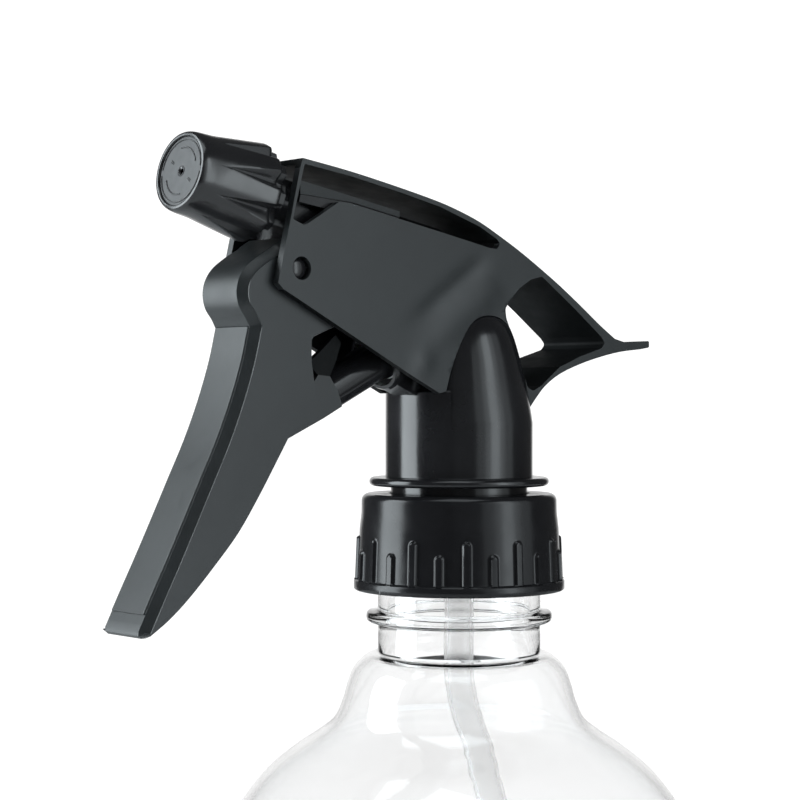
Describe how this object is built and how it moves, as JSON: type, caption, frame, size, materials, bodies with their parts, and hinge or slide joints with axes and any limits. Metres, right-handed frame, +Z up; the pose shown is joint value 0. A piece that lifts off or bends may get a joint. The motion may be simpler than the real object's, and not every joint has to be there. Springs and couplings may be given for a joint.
{
  "type": "hand mister",
  "caption": "Trigger-operated hand mister: a clear round bottle with a screw closure and a swivelling pump head, finger trigger, twist nozzle and dip tube.",
  "frame": {"origin": "centre of the bottle's base, on the bottle's axis, in the plane that it stands on", "axes": "+X the way the nozzle sprays, +Y the sprayer's left side, +Z up along the bottle's axis"},
  "size_m": [0.1002, 0.076, 0.2101],
  "materials": {
    "clear_bottle": "clear moulded PET with a gloss surface",
    "black_gloss": "gloss black moulded polypropylene",
    "charcoal_satin": "satin charcoal moulded polypropylene with a fine mould texture",
    "milky_tube": "translucent milky extruded polyethylene",
    "natural_plastic": "natural off-white moulded polyethylene",
    "white_foam": "white foamed polyethylene",
    "spring_steel": "drawn stainless spring wire",
    "steel_ball": "polished stainless ball"
  },
  "bodies": {
    "bottle": {"bottle": "clear_bottle"},
    "neck_seal": {"neck_gasket": "white_foam"},
    "closure": {"closure": "black_gloss"},
    "sprayer_head": {"pump_body": "black_gloss", "shroud": "charcoal_satin", "tube_holder": "natural_plastic", "dip_tube": "milky_tube", "return_spring": "spring_steel", "outlet_spring": "spring_steel", "swirl_post": "natural_plastic"},
    "trigger": {"trigger": "charcoal_satin"},
    "piston": {"piston": "black_gloss", "piston_cup": "natural_plastic", "vent_wiper": "natural_plastic"},
    "inlet_ball": {"inlet_ball": "steel_ball"},
    "outlet_valve": {"outlet_valve": "natural_plastic"},
    "nozzle_seal": {"nozzle_seal": "natural_plastic"},
    "nozzle_cap": {"nozzle_cap": "black_gloss"}
  },
  "joints": [
    {"name": "head_lift", "type": "slide", "parent": "bottle", "child": "neck_seal", "axis": [0, 0, 1], "range_m": [0, 0.0064]},
    {"name": "closure_turn", "type": "hinge", "parent": "neck_seal", "child": "closure", "pos_m": [0, 0, 0.151], "axis": [0, 0, 1], "range_deg": [0, 540]},
    {"name": "head_swivel", "type": "hinge", "parent": "neck_seal", "child": "sprayer_head", "pos_m": [0, 0, 0.1585], "axis": [0, 0, 1], "continuous": true},
    {"name": "trigger_squeeze", "type": "hinge", "parent": "sprayer_head", "child": "trigger", "pos_m": [0.0366, 0, 0.1915], "axis": [0, 1, 0], "range_deg": [0, 20], "stiffness_Nm_per_rad": 0.55, "springref_deg": -17.19},
    {"name": "piston_stroke", "type": "slide", "parent": "sprayer_head", "child": "piston", "axis": [-0.9003, 0, 0.4352], "range_m": [0, 0.00724], "deforming": ["return_spring"]},
    {"name": "inlet_ball_lift", "type": "slide", "parent": "sprayer_head", "child": "inlet_ball", "axis": [0, 0, 1], "range_m": [0, 0.0012]},
    {"name": "outlet_valve_open", "type": "slide", "parent": "sprayer_head", "child": "outlet_valve", "axis": [0.9839, 0, 0.1788], "range_m": [0, 0.0008], "stiffness_N_per_m": 150, "springref_m": -0.002, "deforming": ["outlet_spring"]},
    {"name": "nozzle_advance", "type": "slide", "parent": "sprayer_head", "child": "nozzle_seal", "axis": [0.9839, 0, 0.1788], "range_m": [0, 0.002]},
    {"name": "nozzle_turn", "type": "hinge", "parent": "nozzle_seal", "child": "nozzle_cap", "pos_m": [0.0528, 0, 0.2046], "axis": [0.9839, 0, 0.1788], "range_deg": [0, 360]}
  ],
  "couplings": [
    {"joint": "head_lift", "follows": "closure_turn", "m_per_rad": 0.0006737},
    {"joint": "piston_stroke", "follows": "trigger_squeeze", "m_per_rad": 0.0207},
    {"joint": "nozzle_turn", "follows": "nozzle_advance", "rad_per_m": 3141.6}
  ]
}
